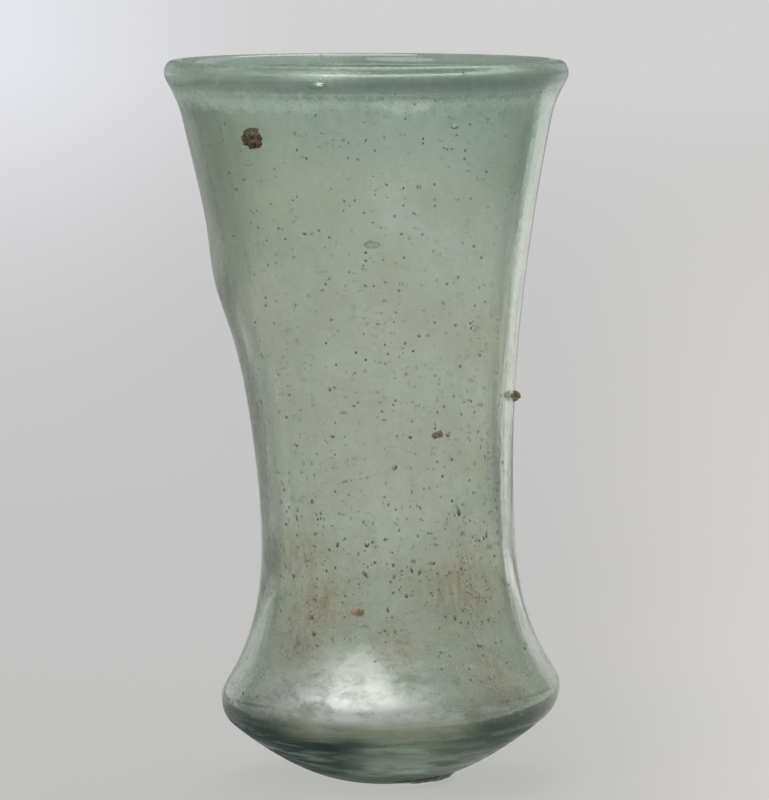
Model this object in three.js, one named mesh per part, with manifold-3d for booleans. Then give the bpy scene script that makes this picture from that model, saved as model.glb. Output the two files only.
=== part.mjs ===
// A free-blown glass bell beaker, in millimetres, with +Z up.
// It stands on the small flat tip of its base, mouth up. The origin is level with that tip,
// under the middle of the mouth, so the body leans off to the right (+X) as it comes down.
// The front is -Y. A turn is an angle about Z, in degrees, from +X towards +Y.

import * as THREE from 'three';
import { mergeVertices } from 'three/addons/utils/BufferGeometryUtils.js';
import Module from 'manifold-3d';

// Outside of the glass, from the tip up: radius and rise at each knot of its outline,
// lean off the upright there, and how far the curve holds that lean below and above the knot
const HEIGHT = 124;

const TIP_RADIUS = 5.5;
const TIP_LEAN = 86;
const TIP_HOLD_ABOVE = 6.6;

const BASE_RADIUS = 27.1;
const BASE_RISE = 10.8;
const BASE_LEAN = 49.7;
const BASE_HOLD_BELOW = 9.7;
const BASE_HOLD_ABOVE = 1.95;

const KEEL_RADIUS = 29.2;
const KEEL_RISE = 15.8;
const KEEL_HOLD_BELOW = 2;
const KEEL_HOLD_ABOVE = 3;

const WAIST_RADIUS = 21.85;
const WAIST_RISE = 43.8;
const WAIST_HOLD_BELOW = 20.5;
const WAIST_HOLD_ABOVE = 22.5;

const NECK_RADIUS = 31.5;
const NECK_DROP = 10.1;
const NECK_LEAN = 12;
const NECK_HOLD_BELOW = 29.1;
const NECK_HOLD_ABOVE = 5.1;

const LIP_RADIUS = 34.5;
const LIP_CROWN = 2.1;
const LIP_LAND = 0.9;
const LIP_HOLD_BELOW = 1.8;

// Thickness of the glass at the same knots. It is heaviest at the tip, where the gather hung
// from the rod, and between the neck and the lip a power over 1 keeps the bead near the lip
const TIP_GLASS = 6.5;
const BASE_GLASS = 2.3;
const KEEL_GLASS = 1.6;
const WAIST_GLASS = 2.3;
const NECK_GLASS = 2.3;
const LIP_GLASS = 4.2;
const LIP_BEADING = 3;

// What blowing it by eye did to the round form
const DRIFT = 4.2;
const DRIFT_RISE = 21.5;
const TIP_SHIFT = 1.1;
const KEEL_TILT = 2;
const KEEL_TILT_REACH = 25;
const SWELLING = 1.3;
const SWELLING_RISE = 86;
const SWELLING_SPREAD = 8.4;
const UNEVEN_WALL = 0.12;

// The crescent of glass that the pontil rod left beside the tip
const SCAR_RADIUS = 11;
const SCAR_FROM = -82;
const SCAR_TO = 24;
const SCAR_WIDTH = 2.6;
const SCAR_PROUD = 0.8;
const SCAR_HEAVY_END = 0.4;

// Crusts of rusty soil on the outside of the wall: how far above the waist or below the
// mouth each one sits, and its size
const CRUSTS = [
  { name: 'rim_crust', turn: -127.5, rise: HEIGHT - 12.2, width: 3.7, height: 3.4, proud: 1 },
  { name: 'waist_crust', turn: -66, rise: WAIST_RISE + 18.1, width: 2.4, height: 1.4, proud: 0.8 },
  { name: 'edge_crust', turn: -8.8, rise: WAIST_RISE + 22.9, width: 1.5, height: 1.9, proud: 1.1 },
  { name: 'keel_crust', turn: -104, rise: WAIST_RISE - 11.6, width: 2.6, height: 1.9, proud: 0.7 },
];
const CRUST_LUMPS = 0.12;

// Clearance under what sits on the glass, and the fineness of the facets
const SEAT_GAP = 0.3;
const SIDES = 64;
const BASE_STEPS = 8;
const KEEL_STEPS = 4;
const FLANK_STEPS = 9;
const BODY_STEPS = 12;
const NECK_STEPS = 4;
const LIP_STEPS = 3;
const CRUST_DETAIL = 2;
const SCAR_SIDES = 28;
const SCAR_RINGS = 12;

const LIP_RISE = HEIGHT - LIP_CROWN;
const NECK_RISE = HEIGHT - NECK_DROP;

const wasm = await Module();
wasm.setup();

const ease = (share) => THREE.MathUtils.smoothstep(share, 0, 1);

// The outline's knots, each with the steps of the stretch above it and, where the glass
// doesn't change evenly along that stretch, the power of the change
const knots = [
  {
    radius: TIP_RADIUS, rise: 0, lean: TIP_LEAN,
    above: TIP_HOLD_ABOVE, glass: TIP_GLASS, steps: BASE_STEPS,
  },
  {
    radius: BASE_RADIUS, rise: BASE_RISE, lean: BASE_LEAN,
    below: BASE_HOLD_BELOW, above: BASE_HOLD_ABOVE, glass: BASE_GLASS, steps: KEEL_STEPS,
  },
  {
    radius: KEEL_RADIUS, rise: KEEL_RISE, lean: 0,
    below: KEEL_HOLD_BELOW, above: KEEL_HOLD_ABOVE, glass: KEEL_GLASS, steps: FLANK_STEPS,
  },
  {
    radius: WAIST_RADIUS, rise: WAIST_RISE, lean: 0,
    below: WAIST_HOLD_BELOW, above: WAIST_HOLD_ABOVE, glass: WAIST_GLASS, steps: BODY_STEPS,
  },
  {
    radius: NECK_RADIUS, rise: NECK_RISE, lean: NECK_LEAN,
    below: NECK_HOLD_BELOW, above: NECK_HOLD_ABOVE, glass: NECK_GLASS, steps: NECK_STEPS,
    power: LIP_BEADING,
  },
  { radius: LIP_RADIUS, rise: LIP_RISE, lean: 0, below: LIP_HOLD_BELOW, glass: LIP_GLASS },
];

// The point that lies a distance from a knot, along the outline's direction there
function heldPoint(knot, distance) {
  const lean = THREE.MathUtils.degToRad(knot.lean);
  return new THREE.Vector2(
    knot.radius + distance * Math.sin(lean),
    knot.rise + distance * Math.cos(lean),
  );
}

// The outside from the middle of the tip to the lip's widest ring, as points that know
// which way is out of the glass and how thick the glass is there
function outsideLine() {
  const line = [{ at: new THREE.Vector2(0, 0), out: new THREE.Vector2(0, -1), glass: TIP_GLASS }];
  for (let index = 0; index + 1 < knots.length; index += 1) {
    const low = knots[index];
    const high = knots[index + 1];
    const stretch = new THREE.CubicBezierCurve(
      heldPoint(low, 0),
      heldPoint(low, low.above),
      heldPoint(high, -high.below),
      heldPoint(high, 0),
    );
    const last = index + 2 === knots.length ? low.steps : low.steps - 1;
    for (let step = 0; step <= last; step += 1) {
      const share = step / low.steps;
      const upwards = stretch.getTangent(share);
      line.push({
        at: stretch.getPoint(share),
        out: new THREE.Vector2(upwards.y, -upwards.x),
        glass: THREE.MathUtils.lerp(low.glass, high.glass, ease(share) ** (low.power ?? 1)),
      });
    }
  }
  return line;
}

const outside = outsideLine();

// The lip's rounded top, from its widest ring over a narrow level land to the inside
function lipLine() {
  const reach = (LIP_GLASS - LIP_LAND) / 2;
  const line = [];
  for (const side of [1, -1]) {
    for (let step = 1; step <= LIP_STEPS; step += 1) {
      const climb = side > 0 ? step : LIP_STEPS + 1 - step;
      const angle = (climb / LIP_STEPS) * (Math.PI / 2);
      line.push(new THREE.Vector2(
        LIP_RADIUS - LIP_GLASS / 2 + side * (LIP_LAND / 2 + reach * Math.cos(angle)),
        LIP_RISE + LIP_CROWN * Math.sin(angle),
      ));
    }
  }
  return line;
}

// Where blowing by eye put a point of the round form. The lower body drifted to the right
// of the mouth, the tip back to the left, the keel stands higher on the right, one stretch
// of the left wall is swollen, and the hollow lies a little to the right in its wall
function blown(radius, rise, turn, hollow = false) {
  const leftness = Math.max(0, -Math.cos(turn)) ** 2 * ease(radius / TIP_RADIUS);
  const bulge = SWELLING * Math.exp(-(((rise - SWELLING_RISE) / SWELLING_SPREAD) ** 2)) * leftness;
  const x = (radius + bulge) * Math.cos(turn);
  const y = (radius + bulge) * Math.sin(turn);
  const tilted = ease(rise / KEEL_RISE) * ease((KEEL_RISE + KEEL_TILT_REACH - rise) / KEEL_TILT_REACH);
  const drift = DRIFT * ease((LIP_RISE - rise) / (LIP_RISE - DRIFT_RISE));
  const tipShift = TIP_SHIFT * ease((KEEL_RISE - rise) / KEEL_RISE);
  const uneven = hollow ? UNEVEN_WALL * ease((LIP_RISE - rise) / NECK_DROP) : 0;
  return new THREE.Vector3(
    x + drift - tipShift + uneven,
    y,
    rise + tilted * x * Math.tan(THREE.MathUtils.degToRad(KEEL_TILT)),
  );
}

// A geometry with its shared corners merged and no face left that has shrunk to a line
function closed(geometry) {
  geometry.deleteAttribute('normal');
  geometry.deleteAttribute('uv');
  const merged = mergeVertices(geometry);
  const corners = [];
  for (let face = 0; face < merged.index.count; face += 3) {
    const a = merged.index.getX(face);
    const b = merged.index.getX(face + 1);
    const c = merged.index.getX(face + 2);
    if (a !== b && b !== c && c !== a) {
      corners.push(a, b, c);
    }
  }
  merged.setIndex(corners);
  return merged;
}

// A profile spun about Z, with each of its points then put where the blowing left it
function spun(profile) {
  const points = profile.map((point) => new THREE.Vector2(point.radius, point.rise));
  const lathe = new THREE.LatheGeometry(points, SIDES);
  const places = lathe.attributes.position;
  for (let index = 0; index < places.count; index += 1) {
    const point = profile[index % profile.length];
    const turn = (Math.floor(index / profile.length) / SIDES - 1 / 4) * 2 * Math.PI;
    const place = blown(point.radius, point.rise, turn, point.hollow);
    places.setXYZ(index, place.x, place.y, place.z);
  }
  return closed(lathe);
}

// The glass is one gather: outside, lip and hollow are one closed skin
function vesselGeometry() {
  const hollowLine = outside.map(({ at, out, glass }) => at.clone().addScaledVector(out, -glass));
  return spun([
    ...outside.map(({ at }) => ({ radius: at.x, rise: at.y })),
    ...lipLine().map((at) => ({ radius: at.x, rise: at.y, hollow: at.x < LIP_RADIUS - LIP_GLASS / 2 })),
    ...hollowLine.reverse().map((at) => ({ radius: at.x, rise: at.y, hollow: true })),
  ]);
}

// The outside grown by the seat gap and filled in: it cuts what sits on the glass
function seatGeometry() {
  const grown = outside.map(({ at, out }) => at.clone().addScaledVector(out, SEAT_GAP));
  return spun([
    ...grown.map((at) => ({ radius: at.x, rise: at.y })),
    { radius: 0, rise: LIP_RISE },
  ]);
}

function solid(geometry) {
  return new wasm.Manifold(new wasm.Mesh({
    numProp: 3,
    vertProperties: geometry.attributes.position.array,
    triVerts: new Uint32Array(geometry.index.array),
  }));
}

const seat = solid(seatGeometry());

// What is left of a piece once the glass under it and the seat gap are cut away
function seated(geometry) {
  const mesh = solid(geometry).subtract(seat).getMesh();
  const left = new THREE.BufferGeometry();
  left.setAttribute('position', new THREE.BufferAttribute(mesh.vertProperties, 3));
  left.setIndex(new THREE.BufferAttribute(mesh.triVerts, 1));
  return left;
}

// The outline's other coordinate where the known one, x for radius or y for rise, first
// reaches a value on the way up from the tip
function outlineAt(known, value, wanted) {
  for (let index = 0; index + 1 < outside.length; index += 1) {
    const low = outside[index].at;
    const high = outside[index + 1].at;
    if (value >= low[known] && value <= high[known] && high[known] > low[known]) {
      return THREE.MathUtils.mapLinear(value, low[known], high[known], low[wanted], high[wanted]);
    }
  }
  throw new Error(`the outline doesn't reach ${value}`);
}

// The crescent is a ball drawn out along an arc round the tip, heavier at its right end
function scarGeometry() {
  const ball = closed(new THREE.SphereGeometry(1, SCAR_RINGS, SCAR_SIDES).rotateZ(-Math.PI / 2));
  const places = ball.attributes.position;
  for (let index = 0; index < places.count; index += 1) {
    const point = new THREE.Vector3().fromBufferAttribute(places, index);
    const turn = THREE.MathUtils.mapLinear(point.x, -1, 1, SCAR_FROM, SCAR_TO);
    const radius = SCAR_RADIUS - point.y * (SCAR_WIDTH / 2);
    const depth = (SCAR_PROUD * (1 + SCAR_HEAVY_END * point.x)) / (1 + SCAR_HEAVY_END);
    const place = blown(radius, outlineAt('x', radius, 'y'), THREE.MathUtils.degToRad(turn));
    places.setXYZ(index, place.x, place.y, place.z + point.z * depth);
  }
  return seated(ball);
}

// A crust is half of a lumpy pebble, widest where it is cut off to clear the wall
function crustGeometry({ turn, rise, width, height, proud }, order) {
  const angle = THREE.MathUtils.degToRad(turn);
  const top = rise + height / 2;
  const middle = blown(outlineAt('y', rise, 'x'), rise, angle);
  const upwards = blown(outlineAt('y', top, 'x'), top, angle).sub(middle).normalize();
  const sideways = new THREE.Vector3(-Math.sin(angle), Math.cos(angle), 0);
  const outwards = sideways.clone().cross(upwards).normalize();
  const pebble = closed(new THREE.IcosahedronGeometry(1, CRUST_DETAIL));
  const places = pebble.attributes.position;
  for (let index = 0; index < places.count; index += 1) {
    const point = new THREE.Vector3().fromBufferAttribute(places, index);
    const wave = Math.sin(4 * point.x + order) + Math.sin(5 * point.y - order) + Math.sin(6 * point.z);
    point.multiplyScalar(1 + (CRUST_LUMPS * wave) / 3);
    const place = middle.clone()
      .addScaledVector(sideways, point.x * (width / 2))
      .addScaledVector(upwards, point.y * (height / 2))
      .addScaledVector(outwards, SEAT_GAP + point.z * (proud - SEAT_GAP));
    places.setXYZ(index, place.x, place.y, place.z);
  }
  return seated(pebble);
}

const glass = new THREE.MeshStandardMaterial({
  color: new THREE.Color(0.6, 0.72, 0.64), roughness: 0.12, metalness: 0, transparent: true, opacity: 0.5,
});
const scarGlass = new THREE.MeshStandardMaterial({
  color: new THREE.Color(0.16, 0.19, 0.15), roughness: 0.35, metalness: 0,
});
const rustySoil = new THREE.MeshStandardMaterial({
  color: new THREE.Color(0.27, 0.16, 0.09), roughness: 0.9, metalness: 0,
});

function piece(name, geometry, material) {
  geometry.computeVertexNormals();
  const mesh = new THREE.Mesh(geometry, material);
  mesh.name = name;
  return mesh;
}

const beaker = new THREE.Group();
beaker.add(piece('vessel', vesselGeometry(), glass));
beaker.add(piece('pontil_scar', scarGeometry(), scarGlass));
CRUSTS.forEach((crust, order) => {
  beaker.add(piece(crust.name, crustGeometry(crust, order), rustySoil));
});

export default beaker;
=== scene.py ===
# %% [markdown]
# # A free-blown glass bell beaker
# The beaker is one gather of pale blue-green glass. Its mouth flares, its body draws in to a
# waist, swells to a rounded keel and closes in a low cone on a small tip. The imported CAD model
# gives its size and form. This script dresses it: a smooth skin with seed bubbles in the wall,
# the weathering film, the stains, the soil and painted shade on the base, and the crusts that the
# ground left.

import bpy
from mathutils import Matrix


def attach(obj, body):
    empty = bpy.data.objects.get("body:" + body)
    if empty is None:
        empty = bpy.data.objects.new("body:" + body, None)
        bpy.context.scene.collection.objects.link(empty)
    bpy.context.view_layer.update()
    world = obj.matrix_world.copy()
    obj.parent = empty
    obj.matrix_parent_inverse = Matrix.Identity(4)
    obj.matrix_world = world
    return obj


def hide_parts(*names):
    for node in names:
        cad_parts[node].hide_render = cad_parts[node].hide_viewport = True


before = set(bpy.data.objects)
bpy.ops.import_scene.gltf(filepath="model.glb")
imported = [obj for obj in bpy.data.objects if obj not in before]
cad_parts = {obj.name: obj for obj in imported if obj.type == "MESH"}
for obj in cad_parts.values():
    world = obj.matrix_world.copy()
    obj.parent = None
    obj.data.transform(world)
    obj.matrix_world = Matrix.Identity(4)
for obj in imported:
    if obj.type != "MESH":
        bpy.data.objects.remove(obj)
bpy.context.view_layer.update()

import math
import random
from collections import namedtuple

import bpy
from mathutils import Matrix, Vector

MM = 0.001
BODY = "root"
print("nodes:", sorted(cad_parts))

# %% [markdown]
# ## The camera
# The outline of a round vessel shows how high the camera stood: the far rim sits above the near
# one by a known share of the mouth's width. The camera could be set by eye, but a fit of the
# outline gives it in numbers. It stood about a metre off, a little above the rim, with a long lens.

# %% Set up the camera
CAMERA_PLACE = (0.0031, -0.900, 0.1566)
CAMERA_PITCH = 5.77
CAMERA_LENS = 237.2
SENSOR = 36
FARTHEST_SEEN = 100

camera_data = bpy.data.cameras.new("camera")
camera_data.lens = CAMERA_LENS
camera_data.sensor_width = SENSOR
camera_data.clip_end = FARTHEST_SEEN
camera = bpy.data.objects.new("camera", camera_data)
camera.location = CAMERA_PLACE
camera.rotation_euler = (math.radians(90 - CAMERA_PITCH), 0, 0)
bpy.context.scene.collection.objects.link(camera)
bpy.context.scene.camera = camera
bpy.context.scene.view_settings.view_transform = "Standard"
print("camera at", CAMERA_PLACE, "pitched down", CAMERA_PITCH)

# %% [markdown]
# ## The outline of the glass
# A glass blower shapes the outline, and the spin of the rod makes it round. So the form is drawn
# as one profile and spun. The profile could be traced as many loose points. Five curves between
# named knots keep it smooth, and each number means something: a radius, a rise, a lean off the
# upright, and how far the curve holds that lean. Lengths here are in millimetres, and angles in
# degrees.

# %% Knots of the outline, from the tip up to the lip
HEIGHT = 124
LIP_CROWN = 2.1
LIP_LAND = 0.9
LIP_RISE = HEIGHT - LIP_CROWN
NECK_DROP = 10.1
KEEL_RISE = 15.8
TIP_RADIUS = 5.5
LIP_RADIUS = 34.5
LIP_GLASS = 4.2
TIP_GLASS = 6.5
LIP_BEAD = 3

Knot = namedtuple("Knot", "radius rise lean hold_below hold_above glass steps_above")
KNOTS = [
    Knot(TIP_RADIUS, 0, 86, 0, 6.6, TIP_GLASS, 20),
    Knot(27.1, 10.8, 49.7, 9.7, 1.95, 2.3, 12),
    Knot(29.2, KEEL_RISE, 0, 2, 3, 1.6, 24),
    Knot(21.85, 43.8, 0, 20.5, 22.5, 2.3, 26),
    Knot(31.5, HEIGHT - NECK_DROP, 12, 29.1, 5.1, 2.3, 12),
    Knot(LIP_RADIUS, LIP_RISE, 0, 1.8, 0, LIP_GLASS, 0),
]
TIP_STEPS = 3
LIP_STEPS = 8


def ease(share):
    """A share that starts and ends softly, between 0 and 1."""
    share = min(1, max(0, share))
    return share * share * (3 - 2 * share)


def held_point(knot, distance):
    """The point at a distance from a knot, along the outline's direction there."""
    lean = math.radians(knot.lean)
    return Vector((knot.radius + distance * math.sin(lean), knot.rise + distance * math.cos(lean)))


def outside_line():
    """Points of the outside, each with the direction out of the glass and its thickness."""
    flat = [i / TIP_STEPS * TIP_RADIUS for i in range(TIP_STEPS)]
    line = [(Vector((radius, 0)), Vector((0, -1)), TIP_GLASS) for radius in flat]
    for low, high in zip(KNOTS, KNOTS[1:]):
        last = high is KNOTS[-1]
        a, b = held_point(low, 0), held_point(low, low.hold_above)
        c, d = held_point(high, -high.hold_below), held_point(high, 0)
        for step in range(low.steps_above + last):
            share = step / low.steps_above
            rest = 1 - share
            at = a * rest**3 + b * 3 * rest**2 * share + c * 3 * rest * share**2 + d * share**3
            along = (b - a) * rest**2 + (c - b) * 2 * rest * share + (d - c) * share**2
            along.normalize()
            gained = ease(share) ** (LIP_BEAD if last else 1)
            glass = low.glass + (high.glass - low.glass) * gained
            line.append((at, Vector((along.y, -along.x)), glass))
    return line


def lip_line():
    """The rounded top of the lip, from its widest ring over a narrow level land."""
    reach = (LIP_GLASS - LIP_LAND) / 2
    middle = LIP_RADIUS - LIP_GLASS / 2
    line = []
    for side in (1, -1):
        for step in range(1, LIP_STEPS + 1):
            climb = step if side > 0 else LIP_STEPS + 1 - step
            angle = climb / LIP_STEPS * math.pi / 2
            radius = middle + side * (LIP_LAND / 2 + reach * math.cos(angle))
            line.append(Vector((radius, LIP_RISE + LIP_CROWN * math.sin(angle))))
    return line


outside = outside_line()
print("the outside has", len(outside), "points")

# %% [markdown]
# ## What blowing by eye did
# No free-blown vessel is quite round. This one drifts to the right as it comes down, its keel
# stands higher on the right, and a stretch of the left wall is swollen. A lattice or sculpting
# could bend it, but one function moves every point the same way, so the skin, the bubbles in it
# and the crusts on it all agree.

# %% Bend a point of the round form
DRIFT = 4.2
DRIFT_RISE = 21.5
TIP_SHIFT = 1.1
KEEL_TILT = 2
KEEL_TILT_REACH = 25
SWELLING = 1.3
SWELLING_RISE = 86
SWELLING_SPREAD = 8.4
UNEVEN_WALL = 0.12
LOWEST_RISE = 0.05
SLOPE_STEP = 0.5


def blown(radius, rise, turn, hollow=0):
    """Where blowing by eye put a point of the round form, in millimetres."""
    leftness = max(0, -math.cos(turn)) ** 2 * ease(radius / TIP_RADIUS)
    bulge = SWELLING * math.exp(-(((rise - SWELLING_RISE) / SWELLING_SPREAD) ** 2)) * leftness
    x = (radius + bulge) * math.cos(turn)
    y = (radius + bulge) * math.sin(turn)
    tilted = ease(rise / KEEL_RISE) * ease((KEEL_RISE + KEEL_TILT_REACH - rise) / KEEL_TILT_REACH)
    drift = DRIFT * ease((LIP_RISE - rise) / (LIP_RISE - DRIFT_RISE))
    tip_shift = TIP_SHIFT * ease((KEEL_RISE - rise) / KEEL_RISE)
    uneven = UNEVEN_WALL * hollow * ease((LIP_RISE - rise) / NECK_DROP)
    lift = tilted * x * math.tan(math.radians(KEEL_TILT))
    return Vector((x + drift - tip_shift + uneven, y, rise + lift))


def outline_at(rise):
    """The outside's radius and the glass thickness at a rise above the tip."""
    for (low, _, low_glass), (high, _, high_glass) in zip(outside, outside[1:]):
        if low.y <= rise <= high.y and high.y > low.y:
            share = (rise - low.y) / (high.y - low.y)
            return low.x + (high.x - low.x) * share, low_glass + (high_glass - low_glass) * share
    raise ValueError(f"the outline doesn't reach {rise}")


def on_outside(rise, turn):
    """The blown outside at a rise and a turn in radians."""
    return blown(outline_at(rise)[0], rise, turn)


def wall_frame(turn_degrees, rise, depth=0.0):
    """A matrix on the wall in metres: X along the ring, Y up the wall, Z out of the glass.
    Depth is how far into the glass it lies, in millimetres."""
    turn = math.radians(turn_degrees)
    low, high = max(LOWEST_RISE, rise - SLOPE_STEP), min(LIP_RISE, rise + SLOPE_STEP)
    up = (on_outside(high, turn) - on_outside(low, turn)).normalized()
    side = Vector((-math.sin(turn), math.cos(turn), 0))
    out = side.cross(up).normalized()
    side = up.cross(out).normalized()
    turned = Matrix((side, up, out)).transposed().to_4x4()
    return Matrix.Translation((on_outside(rise, turn) - out * depth) * MM) @ turned


print("the keel is at", [round(value, 4) for value in wall_frame(0, KEEL_RISE).translation])

# %% [markdown]
# ## The skin of the vessel
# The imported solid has 64 flat sides, which glass would show as facets. The skin is drawn anew:
# one point is extruded along the profile, up the outside, over the lip and back down the hollow,
# and the line is spun into a closed shell. Then every point is put where the blowing left it. The
# wall has real thickness, because the bright and dark bands at the edges of glass come from it.

# %% Draw the profile and spin it
SIDES = 176
DOUBLES = 1e-6


def deselect():
    """Deselects every object."""
    bpy.ops.object.select_all(action="DESELECT")


def profile_points():
    """The whole section in millimetres: outside, lip and hollow, with 1 for the hollow's points."""
    hollow = [(at - out * glass, 1) for at, out, glass in reversed(outside)]
    middle = LIP_RADIUS - LIP_GLASS / 2
    lip = [(at, 1 if at.x < middle else 0) for at in lip_line()]
    return [(at, 0) for at, _, _ in outside] + lip + hollow


deselect()
points = [(Vector((max(0, at.x), 0, at.y)), inside) for at, inside in profile_points()]
bpy.ops.mesh.primitive_plane_add(size=MM, location=points[0][0] * MM)
vessel = bpy.context.object
vessel.name = vessel.data.name = "vessel_glass"
bpy.ops.object.transform_apply(location=True, rotation=True, scale=True)
bpy.ops.object.mode_set(mode="EDIT")
bpy.ops.mesh.select_all(action="SELECT")
bpy.ops.mesh.merge(type="CENTER")
for (start, _), (end, _) in zip(points, points[1:]):
    bpy.ops.mesh.extrude_region_move(TRANSFORM_OT_translate={"value": (end - start) * MM})
bpy.ops.object.mode_set(mode="OBJECT")
inside = vessel.data.attributes.new("inside", "FLOAT", "POINT")
for mark, (_, value) in zip(inside.data, points):
    mark.value = value
bpy.ops.object.mode_set(mode="EDIT")
bpy.ops.mesh.select_all(action="SELECT")
bpy.ops.mesh.spin(steps=SIDES, angle=2 * math.pi, center=(0, 0, 0), axis=(0, 0, 1))
bpy.ops.mesh.select_all(action="SELECT")
bpy.ops.mesh.remove_doubles(threshold=DOUBLES)
bpy.ops.mesh.normals_make_consistent(inside=False)
bpy.ops.object.mode_set(mode="OBJECT")

marks = vessel.data.attributes["inside"].data
for vertex, mark in zip(vessel.data.vertices, marks):
    radius = math.hypot(vertex.co.x, vertex.co.y) / MM
    turn = math.atan2(vertex.co.y, vertex.co.x)
    vertex.co = blown(radius, vertex.co.z / MM, turn, mark.value) * MM
bpy.ops.object.shade_smooth()
print("vessel:", len(vessel.data.vertices), "points,", len(vessel.data.polygons), "faces,",
      sum(mark.value > 0.5 for mark in marks), "points inside")

# %% [markdown]
# ## A bubble
# Old glass is full of small gas bubbles. A dark dot painted on the surface would not catch the
# light. So each one is a small closed shell turned inside out: light leaves the glass, crosses the
# void and enters again. The real ones show a dark crescent, or a dark ring when they are large,
# and that darkness is painted shade: a value on the ball's points says how dark each point is, and
# the material lays a dark layer there. One ball of few faces is made for each size of bubble, and
# then copied.

# %% Model the balls
BOTTOM_DARK = 0.3
BOTTOM_FADE = 1.7
RING_FADE = 6
RING_DARK = 5.2


def ball(name, subdivisions, ringed=False):
    """A smooth ball of radius 1 that is turned inside out, with painted shade low down or in a
    ring.
    """
    deselect()
    bpy.ops.mesh.primitive_ico_sphere_add(subdivisions=subdivisions, radius=1)
    made = bpy.context.object
    made.name = name
    bpy.ops.object.shade_smooth()
    bpy.ops.object.mode_set(mode="EDIT")
    bpy.ops.mesh.select_all(action="SELECT")
    bpy.ops.mesh.flip_normals()
    bpy.ops.object.mode_set(mode="OBJECT")
    # painted shade: how dark each point of a bubble is drawn
    silt = made.data.attributes.new("silt", "FLOAT", "POINT")
    for point, mark in zip(made.data.vertices, silt.data):
        ring = RING_FADE * math.hypot(point.co.x, point.co.y) - RING_DARK
        dark = ring if ringed else BOTTOM_DARK - BOTTOM_FADE * point.co.y
        mark.value = max(0.0, min(1.0, dark))
    return made


seed_ball = ball("seed_ball", 2)
fine_ball = ball("fine_ball", 1)
large_ball = ball("large_ball", 4, True)
print("a seed bubble has", len(seed_ball.data.polygons), "faces")

# %% [markdown]
# ## Bubbles in the wall
# The bubbles are round near the mouth and drawn out near the waist, where the wall was stretched.
# Thousands of small ones are spread at random in the thickness of the wall. The few that stand out
# on the real piece are placed one by one. All are joined to the skin, because a void belongs to
# its glass.

# %% Spread the small bubbles
SEEDS = 950
FINE_SEEDS = 2000
BUBBLES_FROM, BUBBLES_TO = 6, 119
SEED_RADII = (0.10, 0.27, 0.14)
FINE_RADII = (0.07, 0.14)
TALL = 1.2
DRAWN_TALL = (0.3, 1.7)
FLAT = 0.85
DEPTH_SHARES = (0.3, 0.7)
LEAN = (0.15, 0.15)
ROLL = (0, 0.4)
DRAWN_RISE = 48
DRAWN_SPREAD = 24
random.seed(7)


def copy_at(model, place, size, roll=0.0):
    """A copy of a model with its own mesh, at a place, with its three half sizes in mm."""
    copied = model.copy()
    copied.data = model.data.copy()
    shape = Matrix.Diagonal((*[s * MM for s in size], 1))
    copied.matrix_world = place @ shape @ Matrix.Rotation(roll, 4, "Z")
    bpy.context.scene.collection.objects.link(copied)
    return copied


def drawn_out(rise):
    """How far the glass was drawn out at a rise: 1 at the waist and 0 at the mouth."""
    return math.exp(-(((rise - DRAWN_RISE) / DRAWN_SPREAD) ** 2))


bubbles = []
for number in range(SEEDS + FINE_SEEDS):
    seed = number < SEEDS
    rise = random.uniform(BUBBLES_FROM, BUBBLES_TO)
    turn = random.uniform(-180, 180)
    radius = random.triangular(*SEED_RADII) if seed else random.uniform(*FINE_RADII)
    tall = TALL + random.uniform(*DRAWN_TALL) * drawn_out(rise)
    wall = outline_at(rise)[1]
    place = wall_frame(turn, rise, wall * random.uniform(*DEPTH_SHARES))
    place = place @ Matrix.Rotation(random.gauss(*LEAN) * drawn_out(rise), 4, "Z")
    size = (radius, radius * tall, radius * FLAT)
    model = seed_ball if seed else fine_ball
    bubbles.append(copy_at(model, place, size, random.gauss(*ROLL)))
print("small bubbles:", len(bubbles))

# %% Place the bubbles that stand out
# turn, rise, depth and half sizes of the large ones
LARGE_BUBBLES = [
    (-104, 120.3, 1.6, (1.6, 0.55, 0.7)),
    (-89.5, 94.1, 1.2, (1.3, 0.6, 0.12)),
    (-61.5, 113.7, 1.2, (0.75, 0.4, 0.4)),
]
# turn, rise, half width and half height of the ones that were drawn out low on the wall
DRAWN_BUBBLES = [
    (-55.5, 48.5, 0.30, 0.85), (-100.8, 38.5, 0.26, 0.70), (-82.8, 34.9, 0.26, 0.55),
    (-126.0, 31.0, 0.32, 0.55), (-123.9, 28.4, 0.36, 0.50), (-130.7, 26.6, 0.25, 0.32),
    (-130.3, 25.2, 0.25, 0.30), (-94.6, 28.9, 0.24, 0.32), (-92.2, 27.4, 0.22, 0.28),
    (-116.7, 18.6, 0.60, 0.42), (-153.4, 17.9, 0.38, 0.50),
]
DRAWN_DEPTH = 0.9
DRAWN_FLAT = 0.8
DRAWN_ROLL = 0.2

for turn, rise, depth, size in LARGE_BUBBLES:
    bubbles.append(copy_at(large_ball, wall_frame(turn, rise, depth), size))
for turn, rise, wide, tall in DRAWN_BUBBLES:
    size = (wide, tall, wide * DRAWN_FLAT)
    bubbles.append(copy_at(seed_ball, wall_frame(turn, rise, DRAWN_DEPTH), size, DRAWN_ROLL))

for model in (seed_ball, fine_ball, large_ball):
    bpy.data.objects.remove(model)
deselect()
for bubble in bubbles:
    bubble.select_set(True)
vessel.select_set(True)
bpy.context.view_layer.objects.active = vessel
bpy.ops.object.join()
print("vessel with", len(bubbles), "bubbles:", len(vessel.data.polygons), "faces")

# %% [markdown]
# ## Shader maths as plain Python
# A material is a tree of nodes. Wiring them by hand hides the idea, so a socket is wrapped in a
# small class whose operators add Math nodes, and one method adds any other node. The other methods
# are short names for what the materials need often.

# %% Wrap a socket and a node tree
MIX_FACTOR, MIX_FIRST, MIX_SECOND, MIX_RESULT = 0, 6, 7, 2
ATTRIBUTE_VALUE = 2


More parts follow.
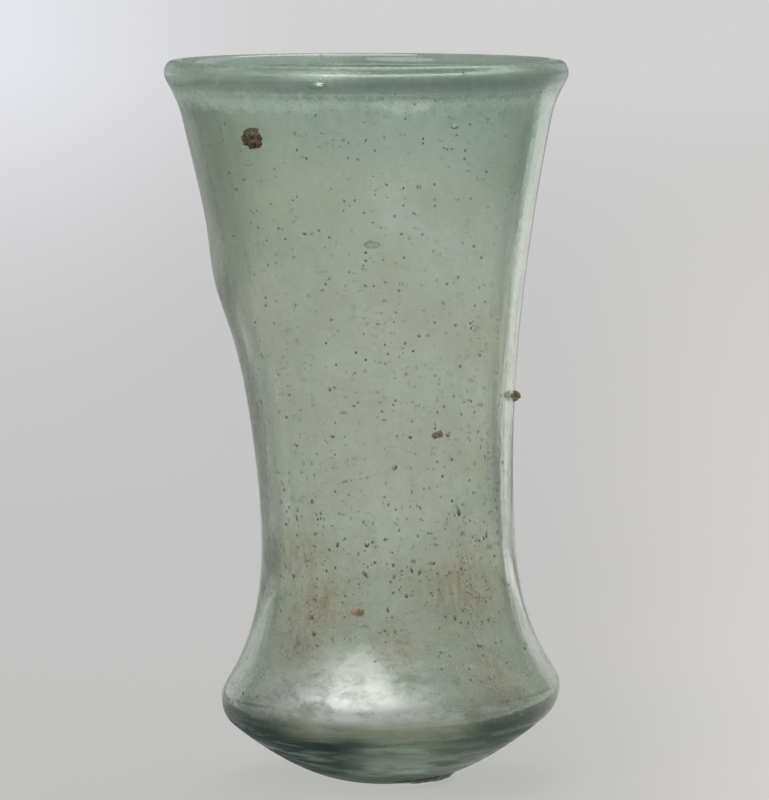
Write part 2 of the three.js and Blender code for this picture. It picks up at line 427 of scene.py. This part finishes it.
class Signal:
    """The value of a socket. Sums of signals add Math nodes."""

    def __init__(self, shader, socket):
        self.shader = shader
        self.socket = socket

    def math(self, operation, *values):
        return self.shader.node("Math", dict(enumerate(values)), {"operation": operation})

    def __add__(self, other):
        return self.math("ADD", self, other)

    def __sub__(self, other):
        return self.math("SUBTRACT", self, other)

    def __rsub__(self, other):
        return self.math("SUBTRACT", other, self)

    def __mul__(self, other):
        return self.math("MULTIPLY", self, other)

    def __truediv__(self, other):
        return self.math("DIVIDE", self, other)

    __radd__ = __add__
    __rmul__ = __mul__

    def larger(self, other):
        return self.math("MAXIMUM", self, other)

    def smaller(self, other):
        return self.math("MINIMUM", self, other)

    def between(self, low, high, to_low=0.0, to_high=1.0):
        """The signal eased from to_low at low to to_high at high."""
        values = {0: self, 1: low, 2: high, 3: to_low, 4: to_high}
        return self.shader.node("MapRange", values, {"interpolation_type": "SMOOTHSTEP"})


class Shader:
    """A node tree that is written as Python."""

    def __init__(self, tree):
        self.tree = tree
        tree.nodes.clear()

    def node(self, kind, values=None, settings=None, out=0, stops=None):
        """Adds a node and returns its output. Settings and stops go first, then sockets."""
        made = self.tree.nodes.new("ShaderNode" + kind)
        for name, value in (settings or {}).items():
            setattr(made, name, value)
        for at, colour in stops or []:
            elements = made.color_ramp.elements
            if at in (0, 1):
                elements[-at].color = (*colour, 1)
            else:
                elements.new(at).color = (*colour, 1)
        for key, value in (values or {}).items():
            socket = made.inputs[key]
            if isinstance(value, Signal):
                self.tree.links.new(value.socket, socket)
            elif hasattr(value, "__len__") and socket.type == "RGBA":
                socket.default_value = (*value, 1)
            else:
                socket.default_value = value
        return Signal(self, made.outputs[out]) if made.outputs else made

    def place(self):
        """Where a point lies on the object, in metres."""
        return self.node("TexCoord", out="Object")

    def axis(self, place, name):
        """One of the X, Y and Z of a place."""
        return self.node("SeparateXYZ", {0: place}, out=name)

    def marked(self, name):
        """A value that the mesh carries on its points."""
        return self.node("Attribute", settings={"attribute_name": name}, out=ATTRIBUTE_VALUE)

    def ray(self, *kinds):
        """1 for a ray of one of these kinds."""
        return self.largest([self.node("LightPath", out=f"Is {kind} Ray") for kind in kinds])

    def stretched(self, place, scale):
        """A place seen through a different scale for each axis."""
        return self.node("Mapping", {0: place, 3: scale}, {"vector_type": "POINT"})

    def noise(self, place, scale, detail=3.0, roughness=0.55):
        values = {"Vector": place, "Scale": scale, "Detail": detail, "Roughness": roughness}
        return self.node("TexNoise", values)

    def grained(self, place, scales, detail=3.0, roughness=0.55):
        """Noise that is drawn out, with a scale for each axis."""
        return self.noise(self.stretched(place, scales), 1, detail, roughness)

    def cells(self, place, scale, out="Distance"):
        """Scattered cells: the distance from the nearest one's middle, or its own colour."""
        return self.node("TexVoronoi", {"Vector": place, "Scale": scale}, out=out)

    def near(self, place, point, reach):
        """1 at a point in metres, fading to 0 at a reach in metres."""
        apart = self.node("VectorMath", {0: place, 1: point}, {"operation": "DISTANCE"}, "Value")
        return apart.between(0, reach, 1, 0)

    def largest(self, signals):
        """The largest of a list of signals."""
        found = signals[0]
        for other in signals[1:]:
            found = found.larger(other)
        return found

    def blend(self, share, first, second):
        """Two colours mixed by a share."""
        values = {MIX_FACTOR: share, MIX_FIRST: first, MIX_SECOND: second}
        return self.node("Mix", values, {"data_type": "RGBA"}, MIX_RESULT)

    def painted(self, colour, coats):
        """A colour with others blended over it in turn, each by its share."""
        for share, over in coats:
            colour = self.blend(share, colour, over)
        return colour

    def mix(self, share, first, second):
        """Two shaders mixed by a share."""
        return self.node("MixShader", {0: share, 1: first, 2: second})

    def covered(self, surface, layers):
        """A shader with others mixed over it in turn, each by its share."""
        for share, over in layers:
            surface = self.mix(share, surface, over)
        return surface

    def bump(self, height, distance, strength=1.0):
        return self.node("Bump", {"Height": height, "Distance": distance, "Strength": strength})

    def output(self, surface, volume=None):
        values = {"Surface": surface}
        if volume:
            values["Volume"] = volume
        self.node("OutputMaterial", values)


def new_material(name):
    material = bpy.data.materials.new(name)
    material.use_nodes = True
    return material, Shader(material.node_tree)


# %% [markdown]
# ## Glass as one material in layers
# The real glass is clear but tinted, and it is worn: a weathering film, brown stains, specks, soil
# on the base and a pearly skin on the shoulder. Clear glass alone would look new. Some layers are
# painted shade instead: the dark in the bubbles, the sides of the upper wall and of the base, and
# the right part of the lip. Each layer could be a thin shell of its own, but shells that close to
# the glass fight over one surface. So all of them are shares of one material. Each share is a mask
# that reads where a point lies on the object, in metres, so nothing slides when the camera moves.

# %% Read where a point lies
glass_material, glass = new_material("green_glass")
place = glass.place()
across = glass.axis(place, "X")
height = glass.axis(place, "Z")
back_half = glass.axis(place, "Y").between(-0.005, 0.002)
hollow_side = glass.marked("inside")
outer_side = 1 - hollow_side
silt = glass.marked("silt")

cloud = glass.noise(place, 60, 4)
grain = glass.noise(place, 900)
streak = glass.grained(place, (420, 420, 60))
print("nodes to read the place:", len(glass.tree.nodes))

# %% [markdown]
# ## Stains and specks
# Brown iron stains lie low on the wall, broken into blots and rusty dots, and dark specks are
# spread over the whole piece. They could be drawn by hand as an image. Here round patches say
# where a stain may be, a noise breaks it up, and scattered cells give the dots: a dot shows where
# a point is near enough to the middle of its cell, and each cell draws its own size.

# %% Place the stains and the specks
# turn, rise and reach of each stained patch
STAINS = [
    (-124, 33, 11), (-55.5, 35.6, 13), (-50, 20, 9),
    (-88, 27, 6), (-132, 27, 9), (-137, 40, 10),
]
DOT_SCALE = 1500
SPECK_SCALE = 620

stained = glass.largest([
    glass.near(place, wall_frame(turn, rise).translation, reach * MM)
    for turn, rise, reach in STAINS
])
blots = glass.grained(place, (1000, 1000, 260), 5, 0.75)
stain_share = stained * blots.between(0.38, 0.66, 0.15, 0.95)
clumps = glass.grained(place, (260, 260, 130))
dots = glass.cells(glass.stretched(place, (1, 1, 0.7)), DOT_SCALE)
rust = stained * (clumps.between(0.40, 0.60, -0.05, 0.37) - dots).between(0.0, 0.25)

speck_place = glass.stretched(place, (1, 1, 0.75))
own_colour = glass.cells(speck_place, SPECK_SCALE, "Color")
drawn = glass.node("SeparateColor", {0: own_colour}, out="Red")
drawn = drawn + height.between(0.02, 0.06, 0.15, 0)
speck_size = drawn.between(0.45, 0.53, 0.0, 0.07) + drawn.between(0.5, 1.0, 0.0, 0.08)
specks = (speck_size - glass.cells(speck_place, SPECK_SCALE)).between(0.0, 0.05)
print("stained patches:", len(STAINS))

# %% [markdown]
# ## The tint
# Iron in the sand makes old glass blue-green. Part of the tint is an absorption inside the glass,
# the same all over, which darkens long paths at the edges. The rest lies at the faces, where it
# can vary: nearly clear at the waist, deeper towards the mouth and deepest at the lip, with olive,
# yellowish and rosy clouds. Two masks darken it as painted shade: the left and right sides of the
# upper wall, and the right part of the lip. A ramp over the height could give only rings, so each
# zone has a mask.

# %% Tint the glass
OLIVE_CLOUD = wall_frame(-138, 101).translation
OLIVE_REACH = 0.036

upper_wall = height.between(0.080, 0.098)
neck = height.between(0.098, 0.112)
# painted shade: the upper wall is darker towards its left and right sides
upper_painted_shade = (across * across).between(0.00018, 0.0006) * height.between(0.090, 0.106)
under_lip = height.between(0.1182, 0.1202)
smudges = glass.grained(place, (520, 520, 130), 4, 0.7).between(0.45, 0.65)
smudges = smudges * height.between(0.112, 0.117)
# painted shade: the right part of the lip is darker, in the tint and in a thicker, darker film
lip_painted_shade = height.between(0.1200, 0.1208) * height.between(0.1222, 0.1230, 1, 0)
lip_painted_shade = lip_painted_shade * across.between(-0.010, 0.000)
lip_top = height.between(0.1222, 0.1234)
olive_cloud = glass.near(place, OLIVE_CLOUD, OLIVE_REACH)
yellow_clouds = glass.noise(place, 110).between(0.42, 0.64) * height.between(0.10, 0.115, 0.7, 0)
rosy_clouds = glass.noise(place, 85, 4).between(0.48, 0.66) * height.between(0.085, 0.105, 0.6, 0)
blotches = glass.noise(place, 420).between(0.45, 0.65) * height.between(0.03, 0.08, 0.45, 0.25)
fine_grain = glass.noise(place, 2600, 2, 0.7).between(0.3, 0.65, 0.34, 0)
fine_grain = fine_grain * height.between(0.03, 0.08, 1, 0.7)
hollow_floor = hollow_side * height.between(0.0075, 0.0095, 1, 0)

WAIST_TINT = (0.885, 0.922, 0.850)
tint = glass.painted(WAIST_TINT, [
    (upper_wall, (0.860, 0.925, 0.870)),
    (neck, (0.70, 0.81, 0.75)),
    # painted shade at the sides of the upper wall
    (upper_painted_shade * 0.9, (0.58, 0.70, 0.62)),
    (under_lip, (0.44, 0.63, 0.54)),
    (smudges * 0.8, (0.38, 0.54, 0.45)),
    # painted shade on the right part of the lip
    (lip_painted_shade, (0.25, 0.38, 0.31)),
    (lip_top * 0.6, (0.74, 0.86, 0.79)),
    (olive_cloud * 0.9, (0.66, 0.69, 0.56)),
    (yellow_clouds, (0.79, 0.81, 0.68)),
    (rosy_clouds, (0.90, 0.89, 0.86)),
    (blotches, (0.72, 0.72, 0.60)),
    (fine_grain, (0.62, 0.66, 0.60)),
    (stain_share, (0.74, 0.58, 0.38)),
    (rust, (0.74, 0.54, 0.36)),
    (hollow_floor, (0.86, 0.81, 0.62)),
])
print("nodes up to the tint:", len(glass.tree.nodes))

# %% [markdown]
# ## The clear glass
# Blown glass is never quite flat, so a faint bump of clouds and streaks bends what is seen through
# it. The lip, which hands and lids wore, and the back of the hollow, where soil lay, are duller.

# %% Make the clear glass
GLASS_IOR = 1.52

ripple = glass.bump(streak * 0.6 + cloud * 0.4, 0.00006, 1.0)
dull_low = hollow_side * back_half * height.between(0.018, 0.034, 1, 0)
worn_lip = height.between(0.1188, 0.1208) * (1 - back_half)
roughness = streak.between(0.3, 0.7, 0.01, 0.05) + dull_low * 0.25 + worn_lip * 0.17
clear = glass.node("BsdfPrincipled", {
    "Base Color": tint, "Roughness": roughness, "IOR": GLASS_IOR,
    "Transmission Weight": 1.0, "Normal": ripple,
})
print("clear glass bends light by", GLASS_IOR)

# %% [markdown]
# ## The weathering film
# The ground takes salts out of old glass and leaves a thin dull film. One even layer would look
# like paint. So it is a pale, half see-through layer whose share follows the clouds, the streaks
# and the grain, and it takes the colours of the stains and specks. Under the lip it is frosted: it
# scatters the light that comes through, as a translucent shader does. The painted shade in the
# bubbles, a dark layer low in them or in a ring, goes on last.

# %% Cover the glass with film, frost and painted bubble shade
film_bump = glass.bump(grain, 0.00005, 0.6)
film_colour = glass.painted((0.80, 0.84, 0.78), [
    (stain_share, (0.36, 0.25, 0.14)),
    (rust, (0.26, 0.17, 0.09)),
    (specks, (0.05, 0.04, 0.03)),
    # painted shade: the film is darker on the right part of the lip
    (lip_painted_shade, (0.40, 0.50, 0.44)),
])
film = glass.node("BsdfPrincipled", {
    "Base Color": film_colour, "Roughness": 0.55, "IOR": 1.3,
    "Transmission Weight": 0.6, "Normal": film_bump,
})
frosted = glass.node("BsdfTranslucent", {"Color": (0.86, 0.93, 0.88)})
# painted shade: a dark layer low in the bubbles or in a ring
bubble_shade_layer = glass.node("BsdfPrincipled", {"Base Color": (0.03, 0.035, 0.025), "Roughness": 0.7})

haze = cloud.between(0.3, 0.75, 0.05, 0.14) + (streak * grain).between(0.15, 0.4, 0.0, 0.12)
haze = haze * height.between(0.008, 0.020, 0.1, 1)
# the film is thicker on the right part of the lip, as part of its painted shade
film_share = haze + lip_painted_shade * 0.45 + rust * 0.75 + stain_share * 0.15 + specks * 0.75

ragged = height + (streak - 0.5) * 0.003
frost = ragged.between(0.1158, 0.1178) * ragged.between(0.1186, 0.1203, 1, 0)
frost = frost * grain.between(0.3, 0.6, 0.3, 1) * across.between(-0.020, 0.010, 1, 0.4)
rim_wear = height.between(0.1231, 0.1238) * (1 - back_half) * grain.between(0.3, 0.6, 0.6, 1)
worn = glass.covered(clear, [
    (film_share.smaller(1), film),
    (frost * 0.34 + rim_wear * 0.35, frosted),
    (silt * 0.72, bubble_shade_layer),
])
print("nodes up to the film:", len(glass.tree.nodes))

# %% [markdown]
# ## Soil and painted shade on the base
# Under the keel the glass traps the light that enters it. Layers on the outside set the base's
# pale and dark places. A dark green streaky layer to the left and right of the base is painted
# shade. The same layer darkens the tip, a pale patch lies in front of the tip, ochre in a band
# under the keel, and murky streaks between them. Soaked soil on the hollow's floor lets a little
# light through.

# %% Cover the base with soil and painted shade
BASE_MIDDLE = 0.004
PALE_PLACE = (0.0036, -0.017, 0.0070)
PALE_REACH = 0.0065


def matt_layer(colour, roughness):
    """A dry layer on the outside that hardly shines."""
    return glass.node("BsdfPrincipled", {
        "Base Color": colour, "Roughness": roughness, "IOR": 1.2, "Normal": film_bump,
    })


base_streak = glass.grained(place, (70, 70, 650), 4, 0.65)
base_cloud = glass.grained(place, (75, 75, 420), 4, 0.65)
leftward = BASE_MIDDLE - across
rightward = across - BASE_MIDDLE
both_sides = leftward.between(0.001, 0.011).larger(rightward.between(0.004, 0.020, 0, 0.75))
# painted shade: a dark streaky layer to the left and right of the base
base_painted_shade = outer_side * height.between(0.010, 0.016, 1, 0) * both_sides
base_painted_shade = base_painted_shade * base_streak.between(0.36, 0.56, 0.35, 1.0)
# darker at the tip
tip_darkening = outer_side * height.between(0.0010, 0.0050, 0.75, 0)
# a pale patch in front of the tip
pale_spot = glass.near(glass.stretched(place, (0.55, 1, 1)), PALE_PLACE, PALE_REACH)
pale_share = outer_side * pale_spot * base_cloud.between(0.36, 0.60, 1.0, 0.1)
below_keel = outer_side * height.between(0.0095, 0.0125) * height.between(0.0145, 0.0162, 1, 0)
middle = rightward.between(0.010, 0.018, 1, 0) * leftward.between(0.012, 0.022, 1, 0)
ochre_share = below_keel * middle * base_cloud.between(0.35, 0.65, 0.9, 0.45)
murk = outer_side * height.between(0.010, 0.012, 1, 0) * base_cloud.between(0.46, 0.66)
floor_soil = hollow_side * height.between(0.0078, 0.0105, 1, 0)
floor_soil = floor_soil * base_streak.between(0.35, 0.65, 0.35, 0.7)

dark_layer = matt_layer((0.010, 0.042, 0.034), 0.5)
pale_layer = matt_layer((0.66, 0.71, 0.68), 0.8)
ochre = matt_layer((0.43, 0.46, 0.34), 0.8)
soaked = glass.node("BsdfTranslucent", {"Color": (0.34, 0.36, 0.29)})
worn = glass.covered(worn, [
    # painted shade on both sides of the base
    (base_painted_shade, dark_layer),
    (tip_darkening, dark_layer),
    (pale_share, pale_layer),
    (ochre_share, ochre),
    (murk * 0.5, dark_layer),
    (floor_soil, soaked),
])
print("nodes up to the soil:", len(glass.tree.nodes))

# %% [markdown]
# ## The pearly skin on the shoulder
# Weathered glass peels into thin mirror-like flakes. On the shoulder they reflect the front lamp as
# a soft white glow. A white patch of paint would stay white from every side. A rough, metallic
# layer glows only where it mirrors the lamp, so its mask just says where the flakes are thickest.

# %% Lay the pearly skin
THICK_PLACE, THICK_REACH = (-0.0026, -0.029, 0.0172), 0.019
CORE_PLACE, CORE_REACH = (-0.0022, -0.029, 0.0205), 0.009

pearl = glass.node("BsdfPrincipled", {
    "Base Color": (0.89, 0.93, 0.89), "Metallic": 1.0, "Roughness": 0.6, "Normal": film_bump,
})
shoulder = outer_side * height.between(0.013, 0.0155) * height.between(0.017, 0.034, 1, 0)
shoulder = shoulder * across.between(0.012, 0.026, 1, 0.45)
shoulder = shoulder * across.between(-0.022, -0.013, 0.35, 1)
mottle = glass.grained(place, (150, 150, 260), 6, 0.72)
thin_flakes = mottle.between(0.38, 0.62, 0.02, 0.34)
thick_flakes = mottle.between(0.36, 0.62, 0.16, 0.66)
thick_spot = glass.near(glass.stretched(place, (0.6, 1, 1.1)), THICK_PLACE, THICK_REACH)
thick_core = glass.near(glass.stretched(place, (0.55, 1, 1.4)), CORE_PLACE, CORE_REACH)
pearl_share = shoulder * (thin_flakes + thick_spot * thick_flakes + thick_core * 0.25)
pearly = glass.mix(pearl_share, worn, pearl)
print("nodes up to the pearly skin:", len(glass.tree.nodes))

# %% [markdown]
# ## Light through the glass
# Light that glass focuses takes very long to render cleanly. So the lamps' light, and light from
# matt surfaces, goes straight through as through a tinted pane, and only what is seen is bent. The
# absorption inside the glass is a constant, because the export keeps constants there.

# %% Finish the glass
ABSORPTION = {"Color": (0.22, 0.45, 0.27), "Density": 36.0}

pane = glass.node("BsdfTransparent", {"Color": (0.80, 0.86, 0.82)})
surface = glass.mix(glass.ray("Shadow", "Diffuse"), pearly, pane)
glass.output(surface, glass.node("VolumeAbsorption", ABSORPTION))

vessel.data.materials.clear()
vessel.data.materials.append(glass_material)
for polygon in vessel.data.polygons:
    polygon.material_index = 0
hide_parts("vessel")
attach(vessel, BODY)
print("glass:", len(glass.tree.nodes), "nodes")

# %% [markdown]
# ## The pontil scar
# When the finished beaker was cracked off the rod, a crescent of darker glass stayed on the tip.
# It is drawn as a ball stretched along an arc round the tip, heavier at its right end, and then
# roughened, because broken glass has small chipped faces. A Shrinkwrap pushes what lies in the
# glass out to its surface.

# %% Model the scar
SCAR_RADIUS = 11
SCAR_FROM = -82
SCAR_TO = 24
SCAR_WIDTH = 2.6
SCAR_PROUD = 0.8
SCAR_HEAVY_END = 0.4
SCAR_LUMP_SIZE = 1.2
SCAR_LUMPS = 0.35
SNUG = 0.03


def rise_at(radius):
    """The outside's rise at a radius on the low cone of the base."""
    for (low, _, _), (high, _, _) in zip(outside, outside[1:]):
        if low.x <= radius <= high.x and high.x > low.x:
            return low.y + (high.y - low.y) * (radius - low.x) / (high.x - low.x)
    raise ValueError(f"the base doesn't reach {radius}")


def press_on(piece, target):
    """Pushes the points of a piece that lie in the glass out to its surface."""
    wrap = piece.modifiers.new("seat", "SHRINKWRAP")
    wrap.target = target
    wrap.wrap_method = "NEAREST_SURFACEPOINT"
    wrap.wrap_mode = "OUTSIDE"
    wrap.offset = SNUG * MM
    bpy.context.view_layer.objects.active = piece
    bpy.ops.object.modifier_apply(modifier=wrap.name)


def roughen(piece, size, strength):
    """Lumps of a size and strength in millimetres, by a Displace modifier."""
    texture = bpy.data.textures.new(piece.name + "_lumps", "CLOUDS")
    texture.noise_scale = size * MM
    lumps = piece.modifiers.new("lumps", "DISPLACE")
    lumps.texture = texture
    lumps.texture_coords = "LOCAL"
    lumps.strength = strength * MM
    lumps.mid_level = 0.5
    bpy.context.view_layer.objects.active = piece
    bpy.ops.object.modifier_apply(modifier=lumps.name)


deselect()
bpy.ops.mesh.primitive_uv_sphere_add(
    segments=32, ring_count=64, radius=1, rotation=(0, math.pi / 2, 0))
scar = bpy.context.object
scar.name = scar.data.name = "pontil_scar_glass"
bpy.ops.object.transform_apply(location=True, rotation=True, scale=True)
for vertex in scar.data.vertices:
    point = vertex.co.copy()
    turn = SCAR_FROM + (SCAR_TO - SCAR_FROM) * (point.x + 1) / 2
    radius = SCAR_RADIUS - point.y * SCAR_WIDTH / 2
    depth = SCAR_PROUD * (1 + SCAR_HEAVY_END * point.x) / (1 + SCAR_HEAVY_END)
    at = blown(radius, rise_at(radius), math.radians(turn))
    at.z += point.z * depth
    vertex.co = at * MM
roughen(scar, SCAR_LUMP_SIZE, SCAR_LUMPS)
press_on(scar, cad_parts["vessel"])
bpy.ops.object.mode_set(mode="EDIT")
bpy.ops.mesh.select_all(action="SELECT")
bpy.ops.mesh.normals_make_consistent(inside=False)
bpy.ops.object.mode_set(mode="OBJECT")
bpy.ops.object.shade_smooth()
print("scar:", len(scar.data.polygons), "faces")

# %% Finish the scar
scar_material, shader = new_material("scar_glass")
place = shader.place()
patches = shader.noise(place, 700, 4)
colour = shader.blend(patches.between(0.35, 0.65), (0.03, 0.045, 0.03), (0.14, 0.15, 0.10))
chips = shader.bump(shader.cells(place, 900), 0.0002, 0.5)
surface = shader.node("BsdfPrincipled", {
    "Base Color": colour, "Roughness": patches.between(0.3, 0.7, 0.15, 0.5),
    "IOR": GLASS_IOR, "Normal": chips,
})
shader.output(surface)
scar.data.materials.clear()
scar.data.materials.append(scar_material)
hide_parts("pontil_scar")
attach(scar, BODY)
print("scar material:", len(shader.tree.nodes), "nodes")

# %% [markdown]
# ## Crusts of rusty soil
# Four small crusts of iron-rich soil cling to the wall. Each is a lump with a flat foot, cracked
# and grainy. A ball of fine triangles is set on the wall, squashed, lumped twice by Displace
# modifiers, and then pressed out of the glass by a Shrinkwrap, so that its foot follows the wall.

# %% Model the crusts
# name, turn, rise, width, height, how far it stands proud, how strong its lumps are
CRUSTS = [
    ("rim_crust", -127.5, 111.8, 3.7, 3.4, 1.0, 0.55),
    ("waist_crust", -66, 61.9, 1.9, 1.2, 0.8, 0.4),
    ("edge_crust", -8.8, 66.7, 1.5, 1.9, 1.1, 0.3),
    ("keel_crust", -104, 32.2, 2.3, 1.5, 0.5, 0.2),
]
# size and strength of the coarse and of the fine lumps
LUMPS = [(0.9, 2.4), (0.3, 1.2)]

crust_pieces = {}
for name, turn, rise, width, tall, proud, lumpy in CRUSTS:
    deselect()
    bpy.ops.mesh.primitive_ico_sphere_add(subdivisions=5, radius=1)
    crust = bpy.context.object
    crust.name = crust.data.name = name + "_soil"
    size = Matrix.Diagonal((width / 2 * MM, tall / 2 * MM, proud * MM, 1))
    crust.data.transform(wall_frame(turn, rise) @ size)
    for lump_size, strength in LUMPS:
        roughen(crust, lump_size, lumpy * strength)
    press_on(crust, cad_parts["vessel"])
    bpy.ops.object.shade_smooth()
    crust_pieces[name] = crust
    print(name, len(crust.data.polygons), "faces")

# %% [markdown]
# ## The soil of the crusts
# The crust at the rim is dark, the two at the waist and the edge are olive, and the flat one near
# the keel is tan. One recipe serves all three: lumps and grit run from a dark over a middle to a
# pale soil, and the same lumps and grit make the bump. The soil is dry, so it hardly shines.

# %% Finish the crusts
# the dark, middle and pale colour of each soil
SOILS = {
    "dark_soil": ((0.035, 0.032, 0.02), (0.14, 0.11, 0.07), (0.34, 0.24, 0.16)),
    "olive_soil": ((0.11, 0.09, 0.04), (0.25, 0.21, 0.12), (0.48, 0.40, 0.25)),
    "tan_soil": ((0.22, 0.17, 0.11), (0.41, 0.32, 0.22), (0.52, 0.43, 0.31)),
}
SOIL_OF = {
    "rim_crust": "dark_soil", "waist_crust": "olive_soil",
    "edge_crust": "olive_soil", "keel_crust": "tan_soil",
}

for soil_name, (dark, medium, pale) in SOILS.items():
    soil, shader = new_material(soil_name)
    place = shader.place()
    grit = shader.noise(place, 4000)
    lumps = shader.noise(place, 900, 5) * 0.6 + grit * 0.4
    colour = shader.node("ValToRGB", {0: lumps.between(0.35, 0.65)},
                         stops=[(0, dark), (0.5, medium), (1, pale)])
    surface = shader.node("BsdfPrincipled", {
        "Base Color": colour, "Roughness": grit.between(0.3, 0.7, 0.65, 0.95),
        "Specular IOR Level": 0.2, "Normal": shader.bump(lumps, 0.0003, 0.8),
    })
    shader.output(surface)
for name, crust in crust_pieces.items():
    crust.data.materials.clear()
    crust.data.materials.append(bpy.data.materials[SOIL_OF[name]])
    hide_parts(name)
    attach(crust, BODY)
print("soils:", list(SOILS))

# %% [markdown]
# ## The floor
# The beaker stands on a plain pale ground that runs on behind it. Its colour holds painted light:
# it grows paler further back, and a painted pool of light makes it palest to the left, so that it
# looks paler towards the top left. The floor is one wide disc. For eyes, in gloss and through glass
# it glows with its own colour, and for all other light it is a plain matt floor, which keeps the
# shadow. Glass is read by what it bends into view, and a studio keeps dark boards beside the table
# for that. So rays that have met the glass find the ground darker to the sides, and the camera
# itself never sees it.

# %% Lay the floor
FLOOR_REACH = 9
NEAREST_BACK = -0.4
POOL_MIDDLE = 0.003
POOL_NEAR = 0.066
POOL_SPREAD = 0.073

deselect()
bpy.ops.mesh.primitive_circle_add(
    vertices=96, radius=FLOOR_REACH, fill_type="NGON", location=(0, 0, 0))
floor = bpy.context.object
floor.name = floor.data.name = "floor"
floor_material, shader = new_material("pale_floor")
place = shader.place()
across = shader.axis(place, "X")
back = shader.axis(place, "Y").larger(NEAREST_BACK)
apart = shader.node("VectorMath", {0: place}, {"operation": "LENGTH"}, "Value")

# aside is -1 at the left edge of the pale pool of floor, 0 in its middle and 1 at its right edge;
# the left part of the pool is a painted pool of light
aside = (across - POOL_MIDDLE) / (back * POOL_SPREAD + POOL_NEAR)
off_middle = aside.larger(aside * -1.0)
# painted light: the ground is paler further back and palest in the left part of the pool
ground = shader.painted((0.530, 0.525, 0.518), [
    (back.between(-0.05, 0.5), (0.562, 0.556, 0.556)),
    (back.between(0.4, 3.2), (0.640, 0.638, 0.645)),
    (aside.between(-1.1, -0.2, 1, 0) * back.between(0.1, 3.5), (0.80, 0.81, 0.86)),
    (aside.between(0.3, 1.1) * back.between(0.2, 3.0, 1, 0), (0.645, 0.635, 0.605)),
])
boards = shader.painted((0.50, 0.50, 0.49), [
    (apart.between(0.25, 0.32), (0.20, 0.20, 0.195)),
    (apart.between(0.40, 0.48, 1, 0) * across.between(-0.05, 0.05), (0.56, 0.56, 0.55)),
    (apart.between(0.50, 0.62), (0.36, 0.36, 0.355)),
])
ground = shader.blend(off_middle.between(1.05, 1.75) * (1 - shader.ray("Camera")), ground, boards)

seen = shader.ray("Camera", "Glossy", "Transmission")
matt = shader.node("BsdfDiffuse", {"Color": ground})
shown = shader.node("Emission", {"Color": ground, "Strength": 1.0})
shader.output(shader.mix(seen * apart.between(0.05, 0.3, 0.8, 1), matt, shown))
floor.data.materials.append(floor_material)
print("floor:", FLOOR_REACH, "metres wide each way")

# %% [markdown]
# ## The room
# The camera sees a plain pale backdrop. One even colour all round would leave glass without edges.
# So what it mirrors and bends into view is a dark room with one pale strip behind the beaker, which
# is palest at the ground, dim over it and a little paler again high up. For the rest of the light
# the room is an even grey, which fills the shadows.

# %% Set the world
BACKDROP = (0.6, 0.6, 0.61)

world = bpy.data.worlds.new("world")
world.use_nodes = True
bpy.context.scene.world = world
shader = Shader(world.node_tree)
towards = shader.node("TexCoord", out="Generated")
sideways = shader.axis(towards, "X")
backwards = shader.axis(towards, "Y")
upward = shader.axis(towards, "Z")
behind = (sideways * sideways).between(0.01, 0.12, 1, 0) * backwards.between(0.0, 0.3)
sky = shader.blend(upward.between(0.02, 0.10), BACKDROP, (0.24, 0.26, 0.26))
sky = shader.blend(upward.between(0.25, 0.5), sky, (0.36, 0.38, 0.41))
sky = shader.blend(behind, (0.07, 0.075, 0.08), sky)
sky = shader.blend(shader.ray("Camera"), sky, BACKDROP)
room = shader.node("Background", {"Color": (0.35, 0.36, 0.37), "Strength": 1.0})
backdrop = shader.node("Background", {"Color": sky, "Strength": 1.0})
seen = shader.ray("Camera", "Glossy", "Transmission")
shader.node("OutputWorld", {"Surface": shader.mix(seen, room, backdrop)})
print("world:", len(shader.tree.nodes), "nodes")

# %% [markdown]
# ## The lamps
# Four soft lamps light the beaker. A large one hangs above and behind it, and lights the ground
# and the lip. An oval one in front, above and to the left is the glow in the pearly skin. One on
# the right and a low one behind on the left draw the bright bands along the edges. Each has a
# brightness per area, so a lamp can change its size and still look as bright.

# %% Hang the lamps
# name, place, target, size, brightness, colour and shape
LAMPS = [
    ("softbox_above", (0.10, 0.42, 1.1), (0, 0.1, 0.05),
     (0.55, 1.0), 3.6, (1.0, 0.97, 0.97), "RECTANGLE"),
    ("softbox_right", (0.15, 0.26, 0.27), (-1, 0.26, 0.27),
     (0.28, 0.5), 0.66, (1.0, 0.97, 0.98), "RECTANGLE"),
    ("softbox_front", (-0.33, -0.60, 0.84), (0, 0, 0.02),
     (0.70, 0.8), 3.4, (1.0, 0.97, 0.98), "ELLIPSE"),
    ("softbox_left", (-0.60, 0.90, 0.22), (0, 0, 0.05),
     (0.7, 0.40), 0.5, (0.98, 1.0, 1.0), "RECTANGLE"),
]


def lamp(name, at, target, size, radiance, colour, shape):
    """A soft lamp of a plain brightness, pointed at a target."""
    data = bpy.data.lights.new(name, "AREA")
    data.shape = shape
    data.size, data.size_y = size
    area = size[0] * size[1] * (math.pi / 4 if shape == "ELLIPSE" else 1)
    data.energy = radiance * math.pi * area
    data.color = colour
    made = bpy.data.objects.new(name, data)
    made.location = at
    made.rotation_euler = (Vector(target) - Vector(at)).to_track_quat("-Z", "Y").to_euler()
    bpy.context.scene.collection.objects.link(made)
    made.visible_camera = False


for settings in LAMPS:
    lamp(*settings)
print("lamps:", [settings[0] for settings in LAMPS])
